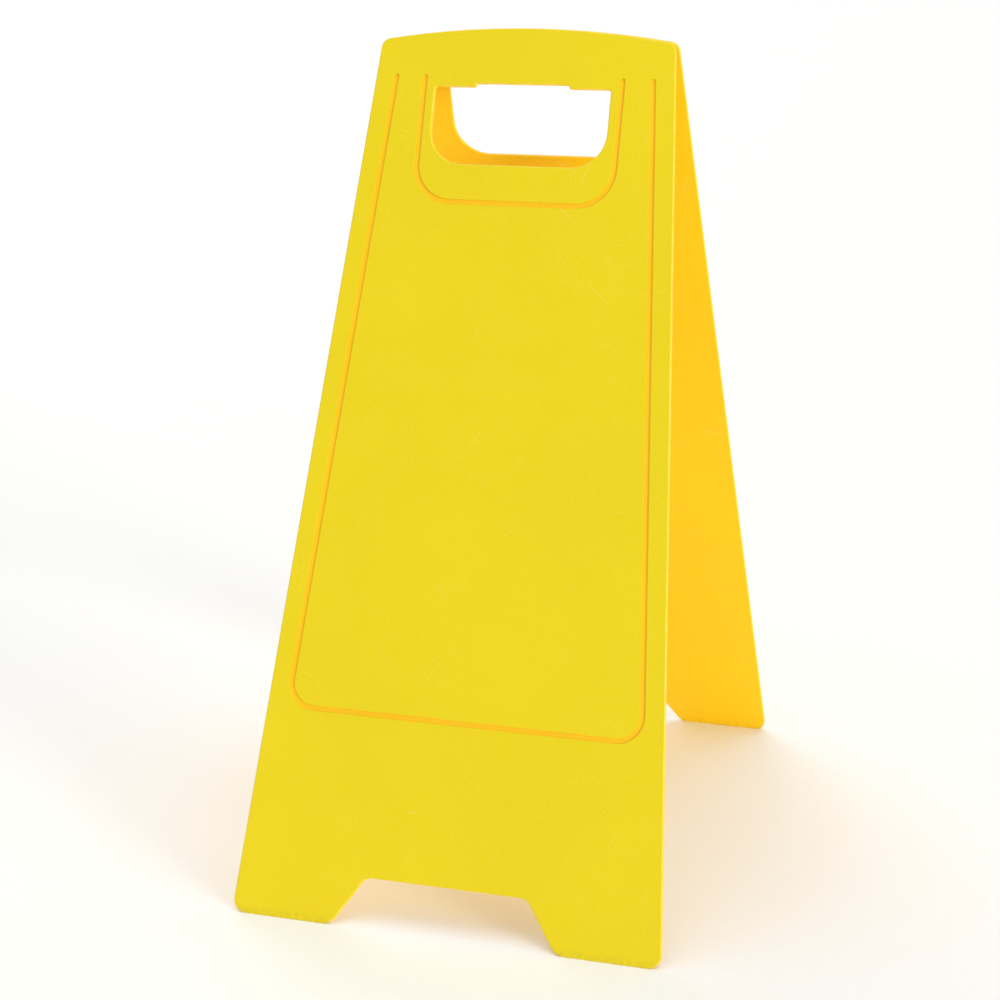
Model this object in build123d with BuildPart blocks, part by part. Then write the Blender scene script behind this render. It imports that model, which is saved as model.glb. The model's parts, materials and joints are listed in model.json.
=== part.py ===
from build123d import *
from math import cos, radians, sin, tan
import os

# Folding wet floor sign. Two identical moulded leaves lean together on a pinned hinge
# under the carrying grip. Millimetres, +Z up, hinge along X, floor at Z = 0, origin on
# the floor under the middle of the hinge. The front leaf faces -Y. Each leaf is drawn on
# its own inner face: x across, y up the leaf, with y = 0 at the top of the arch.

# Leaf outline
leaf_length = 620.0         # top of the arch to the sole, along the outer face
bottom_width = 300.0        # across the feet
top_width = 208.0           # across the shoulders
arch_rise = 9.0             # shoulder up to the top of the arch
leaf_thickness = 3.5
shoulder_round = 7.0
sole_corner_round = 9.5
lean = 20.0                 # degrees, each leaf from the vertical when open

# Foot cut-out
cutout_floor_width = 158.0
cutout_top_width = 112.5
cutout_depth = 34.4
cutout_foot_round = 12.5
cutout_top_round = 8.5

# Hand hole, with a shallow relief for the fingers in its top edge
hole_drop = 41.4            # top of the arch to the top edge of the hole
hole_width = 124.6
hole_height = 54.1
hole_top_round = 2.0
hole_lower_round = 24.0
relief_width = 66.0
relief_height = 2.6
relief_round = 1.2

# Rim rounding and the two moulded lines in the outer face
outer_rim_round = 1.0
inner_rim_round = 0.6
line_width = 3.6
line_depth = 1.0
line_top_drop = 35.2        # both lines stop this far below the top of the arch
border_inset = 15.0
border_rise = 144.0         # sole up to the lowest run of the border
border_round = 17.0
grip_line_margin = 7.7      # from the side of the hand hole
grip_line_drop = 122.0
grip_line_round = 26.0

# Hinge
knuckle_radius = 5.0
knuckle_clearance = 0.6     # knuckle to the inner face of the other leaf
knuckle_width = 13.0
knuckle_gap = 0.5
knuckle_count = 4           # on each side of the grip, counting both leaves
hinge_side_margin = 10.5    # shoulder in to the outermost knuckle
web_flare = 1.5
pin_radius = 2.0
pin_running_clearance = 0.06
pin_end_play = 0.3
pin_end_chamfer = 0.4
head_overhang = 1.6         # head radius beyond the pin's
head_thickness = 1.8
head_round = 0.9

# Washer and toothed push nut on the outer end of each pin
washer_inset = 0.6          # washer edge inside the knuckle's
washer_thickness = 0.8
nut_overhang = 2.2          # nut radius beyond the pin's
nut_sheet = 0.4
nut_tooth_length = 0.9
nut_cone_rise = 0.8
nut_tooth_count = 6
nut_slot_width = 0.7
pin_projection = 0.8        # pin end beyond the push nut

# Stop lands, which meet under the arch when the sign is open
stop_side_gap = 3.0         # end of a land to the innermost knuckle
stop_lower_gap = 0.8        # lower side of a land to the level of the knuckles
stop_gap = 0.3              # between the two lands when open

# Keeper peg and socket, which line the leaves up when the sign is folded
keeper_rise = 90.0          # sole up to the peg and socket
keeper_offset = 60.0        # peg at -x, socket at +x
peg_radius = 3.6
peg_tip_gap = 3.2           # peg to the other leaf when folded
peg_tip_round = 1.2
socket_clearance = 0.6
socket_wall = 2.0
socket_rim_gap = 4.2        # socket to the other leaf when folded

# Marks that the mould leaves on the inner face: ejector pin discs and the gate stub
ejector_radius = 4.0
ejector_depth = 0.2
ejector_rows = 4
ejector_row_spacing = 110.0
ejector_column_spacing = 96.0
gate_rise = 305.0           # sole up to the gate, in the middle of the ejector discs
gate_radius = 2.5
gate_height = 0.4

corner_tolerance = 0.01     # how near a corner lies to the place that it is looked for

os.makedirs("parts", exist_ok=True)

# Worked-out places
lean_cos = cos(radians(lean))
lean_sin = sin(radians(lean))
lean_tan = tan(radians(lean))
apex_height = leaf_length * lean_cos - leaf_thickness * lean_sin
hinge_gap = knuckle_radius + knuckle_clearance
folded_gap = 2 * hinge_gap
hinge_drop = hinge_gap / lean_tan
hinge_height = apex_height - hinge_gap / lean_sin
knuckle_pitch = knuckle_width + knuckle_gap
knuckle_outer_x = top_width / 2 - hinge_side_margin
knuckle_inner_x = knuckle_outer_x - knuckle_count * knuckle_pitch + knuckle_gap
running_bore_radius = pin_radius + pin_running_clearance
nut_cone_radius = pin_radius + nut_tooth_length
border_drop = leaf_length - border_rise
keeper_drop = leaf_length - keeper_rise
stop_width = 2 * (knuckle_inner_x - stop_side_gap)
stop_drop = hinge_drop - knuckle_radius - stop_lower_gap
land_depth = (stop_drop * lean_sin - stop_gap / 2) / lean_cos
land_start = stop_gap / 2 / lean_sin
outward = Vector(0, -lean_cos, lean_sin)
front_face = Plane(origin=(0, 0, apex_height), x_dir=(1, 0, 0), z_dir=outward)
hinge_section = Plane(origin=(0, 0, hinge_height), x_dir=outward, z_dir=(1, 0, 0))


def edge_x(drop):
    """Half the leaf's width at a drop below the top of the arch."""
    slope = (bottom_width - top_width) / 2 / (leaf_length - arch_rise)
    return top_width / 2 + slope * (drop - arch_rise)


def line_path(top_x, bottom_x, bottom_drop, corner_round):
    """A U open at the top, from one line end down, across and up to the other."""
    return FilletPolyline(
        (-top_x, -line_top_drop),
        (-bottom_x, -bottom_drop),
        (bottom_x, -bottom_drop),
        (top_x, -line_top_drop),
        radius=corner_round,
    )


def corners_at(sketch, y):
    """The corners of a sketch at one height on the leaf, from left to right."""
    lowest = y - corner_tolerance
    highest = y + corner_tolerance
    return sketch.vertices().filter_by_position(Axis.Y, lowest, highest).sort_by(Axis.X)


def is_relief_corner(corner):
    """True at the four corners of the relief in the hand hole's top edge."""
    return abs(abs(corner.X) - relief_width / 2) < corner_tolerance


def across(x):
    """The plane square to the hinge axis at x."""
    return Plane(origin=(x, 0, hinge_height), x_dir=(0, 1, 0), z_dir=(1, 0, 0))


with BuildSketch() as leaf_outline:
    with BuildLine():
        ThreePointArc((-top_width / 2, -arch_rise), (0, 0), (top_width / 2, -arch_rise))
        Polyline(
            (top_width / 2, -arch_rise),
            (bottom_width / 2, -leaf_length),
            (cutout_floor_width / 2, -leaf_length),
            (cutout_top_width / 2, cutout_depth - leaf_length),
            (-cutout_top_width / 2, cutout_depth - leaf_length),
            (-cutout_floor_width / 2, -leaf_length),
            (-bottom_width / 2, -leaf_length),
            (-top_width / 2, -arch_rise),
        )
    make_face()
    fillet(corners_at(leaf_outline, -arch_rise), shoulder_round)
    fillet(corners_at(leaf_outline, cutout_depth - leaf_length), cutout_top_round)
    # Along the sole the outer corners come first and last, and the cut-out's lie between.
    fillet(corners_at(leaf_outline, -leaf_length)[1:-1], cutout_foot_round)
    fillet(corners_at(leaf_outline, -leaf_length)[::3], sole_corner_round)

with BuildSketch() as hand_hole:
    with Locations((0, -hole_drop)):
        Rectangle(hole_width, hole_height, align=(Align.CENTER, Align.MAX))
    fillet(corners_at(hand_hole, -hole_drop - hole_height), hole_lower_round)
    fillet(corners_at(hand_hole, -hole_drop), hole_top_round)
    with Locations((0, relief_height - hole_drop)):
        Rectangle(relief_width, 2 * relief_height, align=(Align.CENTER, Align.MAX))
    fillet(hand_hole.vertices().filter_by(is_relief_corner), relief_round)

with BuildSketch() as moulded_lines:
    with BuildLine(mode=Mode.PRIVATE) as border:
        line_path(
            edge_x(line_top_drop) - border_inset,
            edge_x(border_drop) - border_inset,
            border_drop,
            border_round,
        )
    with BuildLine(mode=Mode.PRIVATE) as grip_line:
        grip_line_x = hole_width / 2 + grip_line_margin
        line_path(grip_line_x, grip_line_x, grip_line_drop, grip_line_round)
    SlotArc(border.wire(), line_width)
    SlotArc(grip_line.wire(), line_width)

with BuildSketch() as knuckle_profile:
    Circle(knuckle_radius)
    with BuildLine():
        Polyline(
            (0, -knuckle_radius),
            (hinge_gap - web_flare, -knuckle_radius),
            (hinge_gap, -knuckle_radius - web_flare),
            (hinge_gap + leaf_thickness / 2, -knuckle_radius - web_flare),
            (hinge_gap + leaf_thickness / 2, knuckle_radius + web_flare),
            (hinge_gap, knuckle_radius + web_flare),
            (hinge_gap - web_flare, knuckle_radius),
            (0, knuckle_radius),
            close=True,
        )
    make_face()

# The land fills the wedge between the leaf and the plane where the two leaves meet.
with BuildSketch() as stop_profile:
    with BuildLine():
        Polyline(
            (hinge_gap + leaf_thickness / 2, -hinge_drop),
            (hinge_gap + leaf_thickness / 2, stop_drop - hinge_drop),
            (hinge_gap - land_depth, stop_drop - hinge_drop),
            (hinge_gap, land_start - hinge_drop),
            (hinge_gap + stop_gap / 2 / lean_cos, -hinge_drop),
            close=True,
        )
    make_face()

with BuildPart() as stop_land:
    with BuildSketch(hinge_section.offset(-stop_width / 2)):
        add(stop_profile.sketch)
    extrude(amount=stop_width)
    with BuildSketch(front_face):
        add(leaf_outline.sketch)
    extrude(amount=leaf_thickness + land_depth, both=True, mode=Mode.INTERSECT)

# The front leaf owns the outermost knuckle on its left, and every second one from there.
# Turned half round about Z, the same moulding fills the knuckle places left over.
with BuildPart() as front_leaf:
    with BuildSketch(front_face):
        add(leaf_outline.sketch)
        add(hand_hole.sketch, mode=Mode.SUBTRACT)
    extrude(amount=leaf_thickness)
    flats = front_leaf.faces().sort_by(Axis((0, 0, 0), outward))
    inner_rim = flats[0].edges()
    fillet(flats[-1].edges(), outer_rim_round)
    fillet(inner_rim, inner_rim_round)

    with BuildSketch(front_face.offset(leaf_thickness)):
        add(moulded_lines.sketch)
    extrude(amount=-line_depth, mode=Mode.SUBTRACT)

    for place in range(knuckle_count):
        inner_x = knuckle_outer_x - knuckle_width - place * knuckle_pitch
        own_left = place % 2 == 0
        start_x = -inner_x - knuckle_width if own_left else inner_x
        with BuildSketch(hinge_section.offset(start_x)):
            add(knuckle_profile.sketch)
        extrude(amount=knuckle_width)
    for start_x, bore in ((-knuckle_outer_x, pin_radius), (knuckle_inner_x, running_bore_radius)):
        with BuildSketch(across(start_x)):
            Circle(bore)
        extrude(amount=knuckle_outer_x - knuckle_inner_x, mode=Mode.SUBTRACT)
    add(stop_land.part)

    with BuildSketch(front_face):
        with Locations((-keeper_offset, -keeper_drop)):
            Circle(peg_radius)
    extrude(amount=peg_tip_gap - folded_gap)
    peg_tip = front_leaf.faces().sort_by(Axis((0, 0, 0), outward))[0]
    fillet(peg_tip.edges(), peg_tip_round)
    with BuildSketch(front_face):
        with Locations((keeper_offset, -keeper_drop)):
            Circle(peg_radius + socket_clearance + socket_wall)
            Circle(peg_radius + socket_clearance, mode=Mode.SUBTRACT)
    extrude(amount=socket_rim_gap - folded_gap)

    with BuildSketch(front_face):
        with Locations((0, gate_rise - leaf_length)):
            with GridLocations(ejector_column_spacing, ejector_row_spacing, 2, ejector_rows):
                Circle(ejector_radius)
    extrude(amount=ejector_depth, mode=Mode.SUBTRACT)
    with BuildSketch(front_face):
        with Locations((0, gate_rise - leaf_length)):
            Circle(gate_radius)
    extrude(amount=-gate_height)
    split(bisect_by=Plane.XY, keep=Keep.TOP)
front_leaf.part.label = "front_leaf"
export_step(front_leaf.part, "parts/front_leaf.step")

with BuildPart() as rear_leaf:
    add(front_leaf.part, rotation=(0, 0, 180))
rear_leaf.part.label = "rear_leaf"
export_step(rear_leaf.part, "parts/rear_leaf.step")

# Left hinge hardware. The pin is tight in the front leaf and turns in the rear leaf; its
# head faces the grip, and the washer and push nut hold its outer end.
head_x = -(knuckle_inner_x - pin_end_play)
washer_x = -knuckle_outer_x
nut_x = washer_x - washer_thickness
pin_end_x = nut_x - nut_cone_rise - nut_sheet - pin_projection

with BuildPart() as hinge_pin_left:
    with BuildSketch(across(head_x)):
        Circle(pin_radius + head_overhang)
    extrude(amount=head_thickness)
    fillet(hinge_pin_left.edges().group_by(Axis.X)[-1], head_round)
    with BuildSketch(across(head_x)):
        Circle(pin_radius)
    extrude(amount=pin_end_x - head_x)
    chamfer(hinge_pin_left.edges().group_by(Axis.X)[0], pin_end_chamfer)
hinge_pin_left.part.label = "hinge_pin_left"

with BuildPart() as pin_washer_left:
    with BuildSketch(across(washer_x)):
        Circle(knuckle_radius - washer_inset)
        Circle(running_bore_radius, mode=Mode.SUBTRACT)
    extrude(amount=-washer_thickness)
pin_washer_left.part.label = "pin_washer_left"

with BuildPart() as push_nut_left:
    with BuildSketch(Plane.XY.offset(hinge_height)):
        nut_radius = pin_radius + nut_overhang
        with BuildLine():
            Polyline(
                (nut_x, nut_radius),
                (nut_x, nut_cone_radius),
                (nut_x - nut_cone_rise, pin_radius),
                (nut_x - nut_cone_rise - nut_sheet, pin_radius),
                (nut_x - nut_sheet, nut_cone_radius + nut_sheet / 2),
                (nut_x - nut_sheet, nut_radius),
                close=True,
            )
        make_face()
    revolve(axis=Axis((0, 0, hinge_height), (1, 0, 0)))
    slot_length = 2 * nut_cone_radius
    with BuildSketch(across(nut_x)):
        for tooth in range(nut_tooth_count // 2):
            Rectangle(slot_length, nut_slot_width, rotation=tooth * 360 / nut_tooth_count)
    extrude(amount=-(nut_cone_rise + nut_sheet), mode=Mode.SUBTRACT)
push_nut_left.part.label = "push_nut_left"

left_hardware = {
    "hinge_pin": hinge_pin_left,
    "pin_washer": pin_washer_left,
    "push_nut": push_nut_left,
}
for name, left in left_hardware.items():
    export_step(left.part, f"parts/{name}_left.step")
    with BuildPart() as right:
        add(left.part, rotation=(0, 0, 180))
    right.part.label = f"{name}_right"
    export_step(right.part, f"parts/{name}_right.step")
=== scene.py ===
import json
from math import cos, pi, radians, sin

import bmesh
import bpy
from bpy.props import FloatProperty, FloatVectorProperty, PointerProperty
from mathutils import Euler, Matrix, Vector

# Folding wet floor sign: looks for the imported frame. Metres, +Z up, the hinge along X, and
# the front leaf facing -Y. Every piece stays the frame's own mesh. A leaf takes its finish
# from where a point lies in the sheet, so the finish turns with the leaf as it folds.

bl_info = {
    "name": "Wet floor sign",
    "version": (1, 0, 0),
    "blender": (4, 5, 0),
    "location": "3D View > Sidebar > Floor sign",
    "description": "Finishes a folding two-leaf wet floor sign and sets it on a studio floor",
    "category": "Object",
}

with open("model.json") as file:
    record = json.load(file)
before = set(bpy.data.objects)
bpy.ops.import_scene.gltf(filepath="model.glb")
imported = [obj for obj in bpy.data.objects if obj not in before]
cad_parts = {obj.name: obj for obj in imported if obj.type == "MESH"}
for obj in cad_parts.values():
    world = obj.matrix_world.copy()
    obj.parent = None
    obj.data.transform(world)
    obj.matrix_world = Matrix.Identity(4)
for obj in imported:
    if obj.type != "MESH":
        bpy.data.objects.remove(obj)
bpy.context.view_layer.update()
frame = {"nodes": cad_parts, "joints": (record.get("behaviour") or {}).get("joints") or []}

MM = 0.001
JOINT = frame["joints"][0]
HINGE = Vector(JOINT["pos_m"])
LEAN = radians(JOINT["range_deg"][1]) / 2
LEAF_SIDES = {"front_leaf": -1, "rear_leaf": 1}
PIN_NODES = ("hinge_pin_left", "hinge_pin_right")
WASHER_NODES = ("pin_washer_left", "pin_washer_right")
NUT_NODES = ("push_nut_left", "push_nut_right")

# A Mix node of colours: its inputs by number, and how it is set up and read.
MIX_SHARE = 0
MIX_FROM = 6
MIX_TO = 7
COLOUR_MIX = {"data_type": "RGBA", "output": 2}

# Moulded plastic. Shades multiply its colour.
# Painted shade: the grain's low spots darken the colour a little.
GRAIN_PAINTED_SHADE_LOW = 0.975
GRAIN_PAINTED_SHADE_SPAN = 0.04
GRAIN_HEIGHT = 0.12 * MM
GRAIN_STRENGTH = 0.5
FLOW_SHADES = {"low": 0.975, "high": 1.01}
PLASTIC_ROUGHNESS = {"low": 0.40, "high": 0.50}
HANDLING_SPACING = 35 * MM

# Wear. A cover is the share of the colour that wear hides, and a mark is a rubbed rim or a
# scratch. Rims are rubbed between two depths from the outer face, and fade at both.
SCRATCH_SETS = (
    {"angle": 38, "length_share": 1.0},
    {"angle": -62, "length_share": 0.7},
    {"angle": 8, "length_share": 0.5},
)
RIM_WEAR_BEGINS = (0.03 * MM, 0.12 * MM)
RIM_WEAR_ENDS = (0.4 * MM, 0.9 * MM)
RIM_WEAR_SPACING = 9 * MM
MARK_COVER = 0.16
MARK_ROUGHNESS = 0.18
MARK_DEPTH = 0.05 * MM
MARK_STRENGTH = 0.3
DIRT_SPECK_SPACING = 3 * MM
DIRT_COVER = 0.22
DIRT_ROUGHNESS = 0.35

# Studio: a wide floor, a dome over it, and far soft lights. Azimuths turn to the right from
# straight in front, softness is how wide a light looks, and angles are in degrees.
FLOOR_RADIUS = 30.0
BACKDROP_RADIUS = 25.0
CIRCLE_STEPS = 128
SKY_STRENGTH = 0.5
BACKDROP_STRENGTH = 1.1
SENSOR_WIDTH = 36.0
SUNS = {
    "key_light": {"azimuth": 58, "elevation": 9, "softness": 20, "strength": 1.8},
    "top_light": {"azimuth": 0, "elevation": 90, "softness": 60, "strength": 1.25},
    "back_light": {"azimuth": 215, "elevation": 14, "softness": 50, "strength": 1.2},
}


def linear(hex_colour):
    """An sRGB hex colour such as '#ffcc00' as linear red, green, blue and alpha."""
    channels = [int(hex_colour[start:start + 2], 16) / 255 for start in (1, 3, 5)]
    light = [c / 12.92 if c <= 0.04045 else ((c + 0.055) / 1.055) ** 2.4 for c in channels]
    return (*light, 1.0)


def length_setting(name, description, metres):
    """A length that a user can change."""
    return FloatProperty(
        name=name, description=description, default=metres, unit="LENGTH", precision=5)


def angle_setting(name, description, degrees):
    """An angle that a user can change."""
    return FloatProperty(
        name=name, description=description, default=radians(degrees), subtype="ANGLE")


def colour_setting(name, description, hex_colour):
    """A colour that a user can change."""
    return FloatVectorProperty(
        name=name, description=description, default=linear(hex_colour),
        subtype="COLOR", size=4, min=0.0, max=1.0)


class FloorSignSizes(bpy.types.PropertyGroup):
    """Sizes of the moulded skin and of its wear, and the camera's place."""
    line_depth: length_setting("Line depth", "Outer face in to a moulded line's floor", 1.0 * MM)
    shade_start_depth: length_setting("Shade start depth", "Outer face in to the pale colour's end", 0.55 * MM)
    mould_grain: length_setting("Mould grain", "Spacing of the moulded faces' grain", 1.4 * MM)
    flow_spacing: length_setting("Flow spacing", "Spacing of the plastic's slow shade", 140 * MM)
    scratch_length: length_setting("Scratch length", "Length of the longer scratches", 30 * MM)
    scratch_spacing: length_setting("Scratch spacing", "Scratch to scratch, sideways", 1.0 * MM)
    dirt_rise: length_setting("Dirt rise", "Sole up to where the floor dirt ends", 7 * MM)
    view_azimuth: angle_setting("View azimuth", "Camera's turn to the right of the front", 16.14)
    view_elevation: angle_setting("View elevation", "How far the camera looks down", 15.82)
    view_distance: length_setting("View distance", "Camera to the point that it looks at", 1.3918)
    view_target: FloatVectorProperty(
        name="View target", description="The point that the camera looks at",
        default=(0.0082, -0.1, 0.2741), subtype="XYZ", unit="LENGTH")
    lens: FloatProperty(
        name="Lens", description="Focal length on a full-frame sensor", default=73.62,
        unit="CAMERA")


class FloorSignColours(bpy.types.PropertyGroup):
    """Colours of the plastics, with painted shade in two yellows, and of metals, wear and floor.
    """
    # The line and inner yellows are painted shade: the plastic is one yellow all through.
    outer_yellow: colour_setting("Outer yellow", "Outer faces of the leaves", "#e7cf04")
    line_shade_yellow: colour_setting("Line shade yellow", "Floors of the moulded lines", "#fbc708")
    inner_shade_yellow: colour_setting("Inner shade yellow", "Inner faces and the sheet's sides", "#ffd209")
    zinc: colour_setting("Zinc", "Plated hinge pins", "#c9cccf")
    nylon: colour_setting("Nylon", "Washers", "#e9e6da")
    spring_steel: colour_setting("Spring steel", "Push nuts", "#5b5c60")
    scuff: colour_setting("Scuff", "Rubbed and scratched plastic", "#fbf3b0")
    dirt: colour_setting("Dirt", "Floor dirt on the soles", "#6b5a3a")
    floor: colour_setting("Floor", "Studio floor and backdrop", "#f7f7f5")


def set_inputs(tree, node, inputs):
    """Sets each input named, or links it where the value is another node's output."""
    for name, value in inputs.items():
        if isinstance(value, bpy.types.NodeSocket):
            tree.links.new(value, node.inputs[name])
        else:
            node.inputs[name].default_value = value


def add_node(tree, kind, inputs, output=0, **settings):
    """Adds one node with its settings and inputs, and gives back one of its outputs."""
    node = tree.nodes.new(kind)
    for name, value in settings.items():
        setattr(node, name, value)
    set_inputs(tree, node, inputs)
    return node.outputs[output]


def new_material(name):
    """A node material, as (material, tree, shader)."""
    material = bpy.data.materials.new(name)
    material.use_nodes = True
    return material, material.node_tree, material.node_tree.nodes["Principled BSDF"]


def set_finish(node_names, material):
    """Gives CAD nodes a material in place of the plain one."""
    for name in node_names:
        piece = frame["nodes"][name]
        piece.data.materials.clear()
        piece.data.materials.append(material)


def uneven(
        tree, place, spacing, low=0.0, high=1.0, start=0.3, full=0.7, detail=2.0, wander=0.0):
    """Soft lumps about spacing apart: low until the noise reaches start, high from full on."""
    noise = add_node(
        tree, "ShaderNodeTexNoise",
        {"Vector": place, "Scale": 1 / spacing, "Detail": detail, "Distortion": wander})
    return add_node(
        tree, "ShaderNodeMapRange",
        {"Value": noise, "From Min": start, "From Max": full, "To Min": low, "To Max": high},
        interpolation_type="SMOOTHSTEP")


def furthest(name, direction):
    """The distance from the hinge axis to a node's furthest point in one direction."""
    vertices = frame["nodes"][name].data.vertices
    return max((vertex.co - HINGE).dot(direction) for vertex in vertices)


def place_on_leaf(tree, name, side):
    """Where a point of a leaf lies, in metres, as (place, depth, rise).

    Depth goes in from the outer face and rise goes up the leaf from the sole. The place is
    a vector of across, rise and depth, set apart on each leaf so that their marks differ.
    """
    outward = Vector((0, side * cos(LEAN), sin(LEAN)))
    down = Vector((0, side * sin(LEAN), -cos(LEAN)))
    point = add_node(tree, "ShaderNodeTexCoord", {}, "Object")
    arm = add_node(tree, "ShaderNodeVectorMath", {0: point, 1: HINGE}, operation="SUBTRACT")
    across = add_node(tree, "ShaderNodeSeparateXYZ", {"Vector": arm}, "X")
    drop = add_node(
        tree, "ShaderNodeVectorMath", {0: arm, 1: down}, "Value", operation="DOT_PRODUCT")
    out = add_node(
        tree, "ShaderNodeVectorMath", {0: arm, 1: outward}, "Value", operation="DOT_PRODUCT")
    rise = add_node(
        tree, "ShaderNodeMath", {0: furthest(name, down), 1: drop}, operation="SUBTRACT")
    depth = add_node(
        tree, "ShaderNodeMath", {0: furthest(name, outward), 1: out}, operation="SUBTRACT")
    place = add_node(tree, "ShaderNodeCombineXYZ", {"X": across, "Y": rise, "Z": depth})
    place = add_node(tree, "ShaderNodeVectorMath", {0: place, 1: (side, 0, 0)}, operation="ADD")
    return place, depth, rise


def lit_and_shaded_yellows(tree, depth, sizes, colours):
    """Lemon at the outer face, and painted shade of deeper yellow in the lines and further in."""
    past_line = (1.1 * sizes.line_depth, 1.4 * sizes.line_depth)
    past_lit_face = (0.5 * sizes.shade_start_depth, 1.5 * sizes.shade_start_depth)
    # Painted shade: the lines' floors take the line shade yellow, as shade in the grooves.
    in_line_shade = add_node(
        tree, "ShaderNodeMapRange",
        {"Value": depth, "From Min": past_line[0], "From Max": past_line[1],
         "To Min": 1.0, "To Max": 0.0})
    on_lit_face = add_node(
        tree, "ShaderNodeMapRange",
        {"Value": depth, "From Min": past_lit_face[0], "From Max": past_lit_face[1],
         "To Min": 1.0, "To Max": 0.0},
        interpolation_type="SMOOTHSTEP")
    deeper = add_node(
        tree, "ShaderNodeMix",
        {MIX_SHARE: in_line_shade, MIX_FROM: colours.inner_shade_yellow, MIX_TO: colours.line_shade_yellow},
        **COLOUR_MIX)
    return add_node(
        tree, "ShaderNodeMix",
        {MIX_SHARE: on_lit_face, MIX_FROM: deeper, MIX_TO: colours.outer_yellow},
        **COLOUR_MIX)


def scratches(tree, place, angle, length, spacing):
    """Thin scratches at an angle to the leaf's width, in patches, from 0 to 1."""
    patch_spacing = 3 * length
    turned = add_node(
        tree, "ShaderNodeVectorRotate", {"Vector": place, "Angle": radians(angle)},
        rotation_type="Z_AXIS")
    drawn_out = add_node(
        tree, "ShaderNodeVectorMath", {0: turned, 1: (spacing / length, 1, 1)},
        operation="MULTIPLY")
    thin = uneven(
        tree, drawn_out, spacing, start=0.76, full=0.82, detail=0.0, wander=0.25)
    patches = uneven(tree, turned, patch_spacing, start=0.50, full=0.68)
    return add_node(tree, "ShaderNodeMath", {0: thin, 1: patches}, operation="MULTIPLY")


def rubbed_rims(tree, place, depth):
    """The rounded rim of the outer face, rubbed here and there, from 0 to 1."""
    past_face = add_node(
        tree, "ShaderNodeMapRange",
        {"Value": depth, "From Min": RIM_WEAR_BEGINS[0], "From Max": RIM_WEAR_BEGINS[1]})
    before_side = add_node(
        tree, "ShaderNodeMapRange",
        {"Value": depth, "From Min": RIM_WEAR_ENDS[0], "From Max": RIM_WEAR_ENDS[1],
         "To Min": 1.0, "To Max": 0.0})
    on_rim = add_node(
        tree, "ShaderNodeMath", {0: past_face, 1: before_side}, operation="MULTIPLY")
    stretches = uneven(tree, place, RIM_WEAR_SPACING, start=0.42, full=0.62)
    return add_node(tree, "ShaderNodeMath", {0: on_rim, 1: stretches}, operation="MULTIPLY")


def leaf_marks(tree, place, depth, sizes):
    """The rubbed rims and every set of scratches, from 0 to 1."""
    marks = rubbed_rims(tree, place, depth)
    for scratch_set in SCRATCH_SETS:
        length = scratch_set["length_share"] * sizes.scratch_length
        scratched = scratches(tree, place, scratch_set["angle"], length, sizes.scratch_spacing)
        marks = add_node(
            tree, "ShaderNodeMath", {0: marks, 1: scratched}, operation="MAXIMUM")
    return marks


def floor_dirt(tree, place, rise, sizes):
    """Mop water dirt dried on just above the sole, from 0 to 1."""
    near_floor = add_node(
        tree, "ShaderNodeMapRange",
        {"Value": rise, "From Min": 0.0, "From Max": sizes.dirt_rise,
         "To Min": 1.0, "To Max": 0.0},
        interpolation_type="SMOOTHSTEP")
    specks = uneven(tree, place, DIRT_SPECK_SPACING, start=0.35, full=0.70, detail=4.0)
    return add_node(tree, "ShaderNodeMath", {0: near_floor, 1: specks}, operation="MULTIPLY")


def shaded(tree, colour, place, grain, sizes):
    """A colour, with painted shade in the grain's low spots and clouded where the plastic flowed.
    """
    grain_painted_shade = add_node(
        tree, "ShaderNodeMath", {0: grain, 1: GRAIN_PAINTED_SHADE_SPAN, 2: GRAIN_PAINTED_SHADE_LOW},
        operation="MULTIPLY_ADD")
    flow_shade = uneven(tree, place, sizes.flow_spacing, **FLOW_SHADES)
    shade = add_node(
        tree, "ShaderNodeMath", {0: grain_painted_shade, 1: flow_shade}, operation="MULTIPLY")
    return add_node(
        tree, "ShaderNodeVectorMath", {0: colour, "Scale": shade}, operation="SCALE")


def worn_colour(tree, colour, marks, dirt, colours):
    """A colour with pale marks and dirt over it."""
    for wear, cover, over in (
            (marks, MARK_COVER, colours.scuff), (dirt, DIRT_COVER, colours.dirt)):
        share = add_node(tree, "ShaderNodeMath", {0: wear, 1: cover}, operation="MULTIPLY")
        colour = add_node(
            tree, "ShaderNodeMix", {MIX_SHARE: share, MIX_FROM: colour, MIX_TO: over},
            **COLOUR_MIX)
    return colour


def worn_roughness(tree, place, marks, dirt):
    """Shinier and duller areas from handling. Marks and dirt are duller still."""
    roughness = uneven(tree, place, HANDLING_SPACING, **PLASTIC_ROUGHNESS)
    for wear, added in ((marks, MARK_ROUGHNESS), (dirt, DIRT_ROUGHNESS)):
        roughness = add_node(
            tree, "ShaderNodeMath", {0: wear, 1: added, 2: roughness},
            operation="MULTIPLY_ADD")
    return roughness


def worn_surface(tree, grain, marks):
    """The relief: a raised grain, with the marks cut into it."""
    grained = add_node(
        tree, "ShaderNodeBump",
        {"Height": grain, "Strength": GRAIN_STRENGTH, "Distance": GRAIN_HEIGHT}, "Normal")
    return add_node(
        tree, "ShaderNodeBump",
        {"Height": marks, "Strength": MARK_STRENGTH, "Distance": MARK_DEPTH, "Normal": grained},
        "Normal", invert=True)


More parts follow.
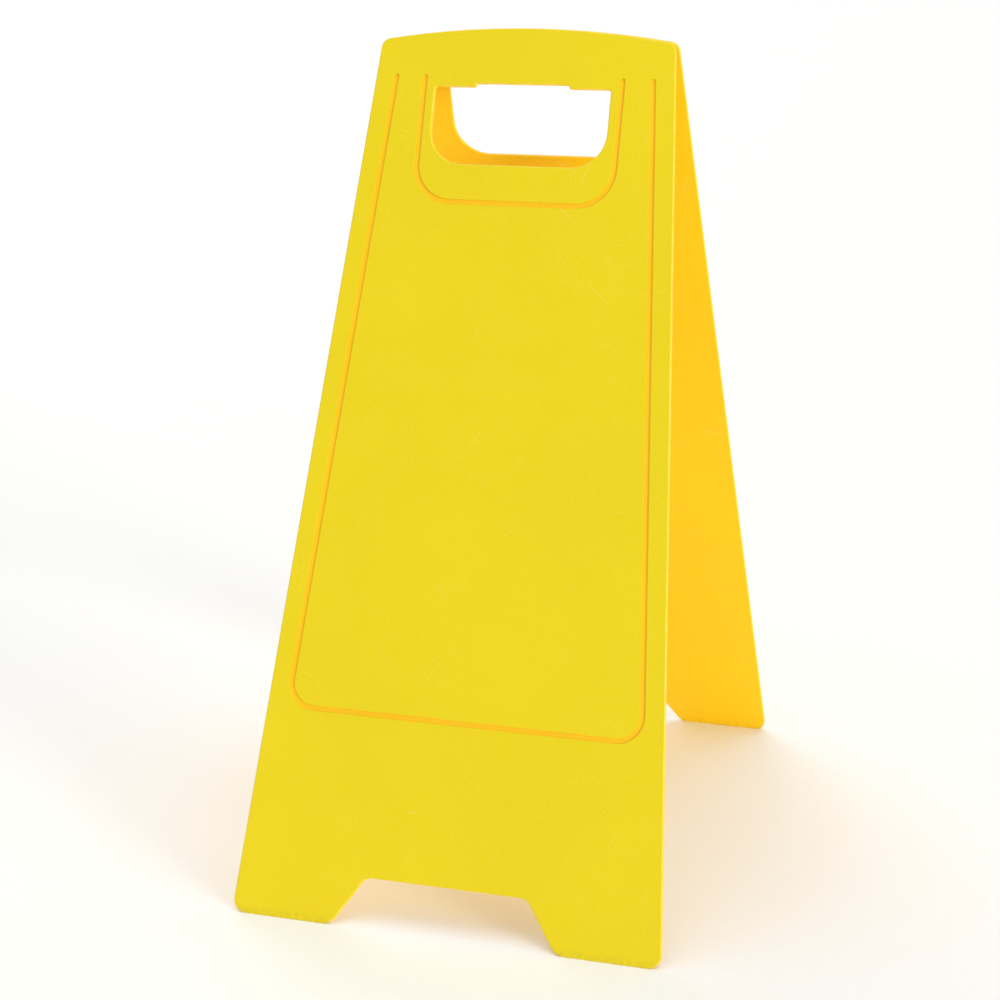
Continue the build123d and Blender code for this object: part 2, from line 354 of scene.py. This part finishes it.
def moulded_polypropylene(name, side, sizes, colours):
    """Polypropylene, injection moulded in a spark-eroded mould.

    To the eye it is a satin, slightly waxy yellow with a fine even grain, softly clouded
    where the plastic flowed. Its rims are rubbed, its faces are lightly scratched, and the
    soles have picked up floor dirt. Painted shade deepens the yellow in the lines, on the
    sides, on the inner faces and a little in the grain's low spots.
    """
    material, tree, shader = new_material("moulded_polypropylene_" + name)
    place, depth, rise = place_on_leaf(tree, name, side)
    # The real grain is about a tenth of this spacing. It is drawn coarse enough to show.
    grain = uneven(tree, place, sizes.mould_grain, detail=3.0)
    marks = leaf_marks(tree, place, depth, sizes)
    dirt = floor_dirt(tree, place, rise, sizes)
    # Painted shade: deeper yellows in the lines, on the sheet's sides and on the inner faces.
    plain = lit_and_shaded_yellows(tree, depth, sizes, colours)
    # Painted shade: the grain darkens the colour a little in its low spots.
    clouded = shaded(tree, plain, place, grain, sizes)
    set_inputs(tree, shader, {
        "Base Color": worn_colour(tree, clouded, marks, dirt, colours),
        "Roughness": worn_roughness(tree, place, marks, dirt),
        "Normal": worn_surface(tree, grain, marks),
        "IOR": 1.49,
        "Specular IOR Level": 0.4,
    })
    return material


def zinc_plated_steel(colours):
    """Drawn steel wire with bright zinc plate: faint rings and a soft bluish shine."""
    material, tree, shader = new_material("zinc_plated_steel")
    spangle_spacing = 1.5 * MM
    # The wave pattern makes about three rings in this length.
    three_rings = 12 * MM
    ring_height = 0.02 * MM
    place = add_node(tree, "ShaderNodeTexCoord", {}, "Object")
    spangle = uneven(tree, place, spangle_spacing, low=0.88, high=1.05)
    colour = add_node(
        tree, "ShaderNodeVectorMath", {0: colours.zinc[:3], "Scale": spangle},
        operation="SCALE")
    rings = add_node(
        tree, "ShaderNodeTexWave",
        {"Vector": place, "Scale": 1 / three_rings, "Distortion": 0.6, "Detail": 2.0}, "Fac",
        bands_direction="X")
    surface = add_node(
        tree, "ShaderNodeBump", {"Height": rings, "Strength": 0.2, "Distance": ring_height},
        "Normal")
    set_inputs(tree, shader, {
        "Base Color": colour,
        "Roughness": uneven(tree, place, spangle_spacing, low=0.22, high=0.36),
        "Normal": surface,
        "Metallic": 1.0,
    })
    return material


def natural_nylon(colours):
    """Moulded natural nylon: milky, waxy and slightly clouded."""
    material, tree, shader = new_material("natural_nylon")
    cloud_spacing = 2 * MM
    grain_spacing = 0.4 * MM
    grain_height = 0.03 * MM
    place = add_node(tree, "ShaderNodeTexCoord", {}, "Object")
    cloud = uneven(tree, place, cloud_spacing, low=0.93, high=1.0)
    colour = add_node(
        tree, "ShaderNodeVectorMath", {0: colours.nylon[:3], "Scale": cloud},
        operation="SCALE")
    grain = uneven(tree, place, grain_spacing)
    surface = add_node(
        tree, "ShaderNodeBump", {"Height": grain, "Strength": 0.2, "Distance": grain_height},
        "Normal")
    set_inputs(tree, shader, {
        "Base Color": colour,
        "Roughness": uneven(tree, place, cloud_spacing, low=0.38, high=0.5),
        "Normal": surface,
        "IOR": 1.53,
        "Subsurface Weight": 0.1,
        "Subsurface Radius": (1.0 * MM, 0.8 * MM, 0.6 * MM),
    })
    return material


def phosphated_spring_steel(colours):
    """Stamped spring steel with a phosphate coat: dark grey, matt and finely speckled."""
    material, tree, shader = new_material("phosphated_spring_steel")
    speckle_spacing = 0.5 * MM
    speckle_height = 0.04 * MM
    place = add_node(tree, "ShaderNodeTexCoord", {}, "Object")
    speckle = uneven(tree, place, speckle_spacing, low=0.75, high=1.15, detail=4.0)
    colour = add_node(
        tree, "ShaderNodeVectorMath", {0: colours.spring_steel[:3], "Scale": speckle},
        operation="SCALE")
    surface = add_node(
        tree, "ShaderNodeBump",
        {"Height": speckle, "Strength": 0.3, "Distance": speckle_height}, "Normal")
    set_inputs(tree, shader, {
        "Base Color": colour,
        "Roughness": uneven(tree, place, speckle_spacing, low=0.42, high=0.62, detail=4.0),
        "Normal": surface,
        "Metallic": 0.9,
    })
    return material


def painted_floor(colours):
    """Matt white painted board: nearly flat, with a faint roller texture."""
    material, tree, shader = new_material("painted_floor")
    roller_spacing = 6 * MM
    place = add_node(tree, "ShaderNodeTexCoord", {}, "Object")
    roller = uneven(tree, place, roller_spacing, low=0.99, high=1.0, detail=3.0)
    colour = add_node(
        tree, "ShaderNodeVectorMath", {0: colours.floor[:3], "Scale": roller},
        operation="SCALE")
    set_inputs(tree, shader, {
        "Base Color": colour,
        "Roughness": uneven(tree, place, roller_spacing, low=0.85, high=0.95, detail=3.0),
        "Specular IOR Level": 0.2,
    })
    return material


def lit_cloth(colours):
    """White cloth lit from behind: an even pale field with no shading."""
    material, tree, shader = new_material("lit_cloth")
    set_inputs(tree, shader, {
        "Base Color": linear("#000000"),
        "Specular IOR Level": 0.0,
        "Emission Color": colours.floor,
        "Emission Strength": BACKDROP_STRENGTH,
    })
    return material


class FLOORSIGN_OT_leaves(bpy.types.Operator):
    """Give both leaves their moulded polypropylene"""
    bl_idname = "floor_sign.leaves"
    bl_label = "Finish the leaves"

    def execute(self, context):
        sizes = context.scene.floor_sign_sizes
        colours = context.scene.floor_sign_colours
        for name, side in LEAF_SIDES.items():
            plastic = moulded_polypropylene(name, side, sizes, colours)
            set_finish([name], plastic)
        return {"FINISHED"}


class FLOORSIGN_OT_pins(bpy.types.Operator):
    """Give the hinge pins their zinc plate"""
    bl_idname = "floor_sign.pins"
    bl_label = "Finish the hinge pins"

    def execute(self, context):
        plated = zinc_plated_steel(context.scene.floor_sign_colours)
        set_finish(PIN_NODES, plated)
        return {"FINISHED"}


class FLOORSIGN_OT_washers(bpy.types.Operator):
    """Give the washers their nylon"""
    bl_idname = "floor_sign.washers"
    bl_label = "Finish the washers"

    def execute(self, context):
        nylon = natural_nylon(context.scene.floor_sign_colours)
        set_finish(WASHER_NODES, nylon)
        return {"FINISHED"}


class FLOORSIGN_OT_push_nuts(bpy.types.Operator):
    """Give the push nuts their spring steel"""
    bl_idname = "floor_sign.push_nuts"
    bl_label = "Finish the push nuts"

    def execute(self, context):
        spring_steel = phosphated_spring_steel(context.scene.floor_sign_colours)
        set_finish(NUT_NODES, spring_steel)
        return {"FINISHED"}


def add_stage_mesh(name, shape, material):
    """Makes an object of a bmesh and marks it as part of the stage."""
    mesh = bpy.data.meshes.new(name)
    shape.to_mesh(mesh)
    shape.free()
    mesh.materials.append(material)
    stage_object = bpy.data.objects.new(name, mesh)
    bpy.context.scene.collection.objects.link(stage_object)
    return stage_object


def add_floor(colours):
    """A wide round floor, centred under the sign."""
    plate = bmesh.new()
    bmesh.ops.create_circle(plate, cap_ends=True, segments=CIRCLE_STEPS, radius=FLOOR_RADIUS)
    add_stage_mesh("studio_floor", plate, painted_floor(colours))


def add_backdrop(colours):
    """A pale dome over the floor, which only the camera sees."""
    dome = bmesh.new()
    bmesh.ops.create_uvsphere(
        dome, u_segments=CIRCLE_STEPS, v_segments=CIRCLE_STEPS // 2, radius=BACKDROP_RADIUS)
    backdrop = add_stage_mesh("studio_backdrop", dome, lit_cloth(colours))
    for unseen_by in ("diffuse", "glossy", "transmission", "volume_scatter", "shadow"):
        setattr(backdrop, "visible_" + unseen_by, False)


def add_sun(name, azimuth, elevation, softness, strength):
    """Far soft light from an azimuth and an elevation."""
    lamp = bpy.data.lights.new(name, "SUN")
    lamp.energy = strength
    lamp.angle = radians(softness)
    light = bpy.data.objects.new(name, lamp)
    light.rotation_euler = Euler((radians(90 - elevation), 0, radians(azimuth)))
    bpy.context.scene.collection.objects.link(light)


def add_sky():
    """Even white light from all round."""
    sky = bpy.data.worlds.new("studio_light")
    sky.use_nodes = True
    set_inputs(sky.node_tree, sky.node_tree.nodes["Background"], {
        "Color": (1, 1, 1, 1),
        "Strength": SKY_STRENGTH,
    })
    bpy.context.scene.world = sky


def add_camera(sizes):
    """The camera, turned and tilted towards its target."""
    data = bpy.data.cameras.new("view_camera")
    data.sensor_width = SENSOR_WIDTH
    data.lens = sizes.lens
    camera = bpy.data.objects.new("view_camera", data)
    turn = Euler((pi / 2 - sizes.view_elevation, 0, sizes.view_azimuth))
    away = Vector((0, 0, sizes.view_distance))
    away.rotate(turn)
    camera.location = Vector(sizes.view_target) + away
    camera.rotation_euler = turn
    bpy.context.scene.collection.objects.link(camera)
    bpy.context.scene.camera = camera


class FLOORSIGN_OT_stage(bpy.types.Operator):
    """Add the floor, the backdrop, the studio light and the camera"""
    bl_idname = "floor_sign.stage"
    bl_label = "Set the stage"

    def execute(self, context):
        add_floor(context.scene.floor_sign_colours)
        add_backdrop(context.scene.floor_sign_colours)
        add_sky()
        for name, sun in SUNS.items():
            add_sun(name, **sun)
        add_camera(context.scene.floor_sign_sizes)
        context.scene.view_settings.view_transform = "Standard"
        return {"FINISHED"}


class FLOORSIGN_PT_panel(bpy.types.Panel):
    """Lists the steps, the sizes and the colours"""
    bl_idname = "FLOORSIGN_PT_panel"
    bl_label = "Wet floor sign"
    bl_space_type = "VIEW_3D"
    bl_region_type = "UI"
    bl_category = "Floor sign"

    def draw(self, context):
        for operator in OPERATORS:
            self.layout.operator(operator.bl_idname)
        for group in (context.scene.floor_sign_sizes, context.scene.floor_sign_colours):
            box = self.layout.box()
            for name in group.__annotations__:
                box.prop(group, name)


OPERATORS = (
    FLOORSIGN_OT_stage,
    FLOORSIGN_OT_leaves,
    FLOORSIGN_OT_pins,
    FLOORSIGN_OT_washers,
    FLOORSIGN_OT_push_nuts,
)
CLASSES = (FloorSignSizes, FloorSignColours, *OPERATORS, FLOORSIGN_PT_panel)


def register():
    for one in CLASSES:
        bpy.utils.register_class(one)
    bpy.types.Scene.floor_sign_sizes = PointerProperty(type=FloorSignSizes)
    bpy.types.Scene.floor_sign_colours = PointerProperty(type=FloorSignColours)


def unregister():
    del bpy.types.Scene.floor_sign_colours
    del bpy.types.Scene.floor_sign_sizes
    for one in reversed(CLASSES):
        bpy.utils.unregister_class(one)


def main():
    """Registers the add-on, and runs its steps."""
    register()
    bpy.ops.floor_sign.stage()
    bpy.ops.floor_sign.leaves()
    bpy.ops.floor_sign.pins()
    bpy.ops.floor_sign.washers()
    bpy.ops.floor_sign.push_nuts()


if __name__ == "__main__":
    main()
